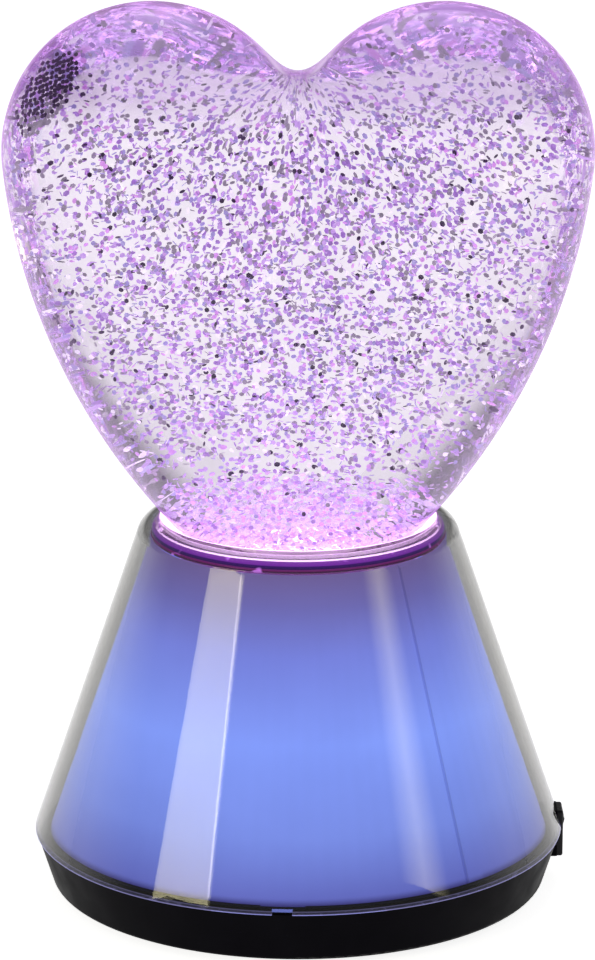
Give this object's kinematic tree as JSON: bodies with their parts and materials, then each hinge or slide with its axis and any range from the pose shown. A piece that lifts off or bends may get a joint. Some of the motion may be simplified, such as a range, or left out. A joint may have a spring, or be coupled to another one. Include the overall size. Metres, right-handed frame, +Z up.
{
  "type": "glitter lamp",
  "caption": "Battery table lamp: a clear heart globe of liquid and stirred glitter on a lit conical base with a rocker switch.",
  "frame": {"origin": "on the table under the centre of the base, at the underside of the feet", "axes": "+Z up; the heart's front faces -Y; the power switch is at +X"},
  "size_m": [0.1448, 0.134, 0.2242],
  "materials": {
    "clear_globe": "polished",
    "globe_liquid": "polished",
    "glitter": "gloss",
    "clear_ring": "polished",
    "clear_shell": "polished",
    "frosted_film": "satin",
    "black_plastic": "satin",
    "switch_black": "satin",
    "foot_rubber": "matte",
    "seal_rubber": "matte",
    "screw_steel": "satin",
    "cell_jacket": "gloss",
    "contact_nickel": "polished",
    "white_plastic": "satin",
    "board_laminate": "gloss",
    "control_laminate": "gloss",
    "component_black": "satin",
    "blue_lamp": "polished",
    "pink_lamp": "polished",
    "clear_plug": "polished",
    "motor_steel": "satin",
    "motor_cap": "matte",
    "terminal_brass": "satin",
    "magnet_nickel": "polished",
    "impeller_plastic": "gloss",
    "lead_insulation": "gloss"
  },
  "bodies": {
    "lamp": {"heart_front_half": "clear_globe", "heart_rear_half": "clear_globe", "liquid_fill": "globe_liquid", "glitter_flakes": "glitter", "neck_ring": "clear_ring", "outer_shell": "clear_shell", "diffuser_sleeve": "frosted_film", "base_tray": "black_plastic", "switch_housing": "switch_black", "rubber_feet": "foot_rubber", "plug_seal": "seal_rubber", "base_screws": "screw_steel", "plug_screws": "screw_steel", "bracket_screws": "screw_steel", "impeller_pin": "screw_steel", "battery_cells": "cell_jacket", "contact_plates": "contact_nickel", "battery_springs": "contact_nickel", "light_deck": "white_plastic", "motor_bracket": "white_plastic", "lower_light_board": "board_laminate", "upper_light_board": "board_laminate", "control_board": "control_laminate", "board_components": "component_black", "lower_lamps": "blue_lamp", "upper_lamps": "pink_lamp", "globe_plug": "clear_plug", "motor_can": "motor_steel", "motor_end_cap": "motor_cap", "motor_terminals": "terminal_brass", "switch_terminals": "terminal_brass", "switch_leads": "lead_insulation", "motor_leads": "lead_insulation", "lamp_leads": "lead_insulation", "battery_leads": "lead_insulation"},
    "motor_rotor": {"motor_shaft": "screw_steel", "rotor_core": "motor_steel", "magnet_carrier": "white_plastic", "drive_magnets": "magnet_nickel"},
    "impeller_wheel": {"impeller": "impeller_plastic", "impeller_magnets": "magnet_nickel"},
    "rocker": {"switch_rocker": "switch_black"},
    "door": {"battery_door": "black_plastic", "door_screw": "screw_steel"}
  },
  "joints": [
    {"name": "motor_spin", "type": "hinge", "parent": "lamp", "child": "motor_rotor", "pos_m": [0, 0, 0.06], "axis": [0, 0, 1], "continuous": true},
    {"name": "impeller_spin", "type": "hinge", "parent": "lamp", "child": "impeller_wheel", "pos_m": [0, 0, 0.085], "axis": [0, 0, 1], "continuous": true},
    {"name": "switch_rock", "type": "hinge", "parent": "lamp", "child": "rocker", "pos_m": [0.0643, 0, 0.0126], "axis": [0, -1, 0], "range_deg": [0, 12]},
    {"name": "door_lift", "type": "slide", "parent": "lamp", "child": "door", "axis": [0, 0, -1], "range_m": [0, 0.025]}
  ],
  "couplings": [
    {"joint": "impeller_spin", "follows": "motor_spin", "ratio": 1}
  ]
}
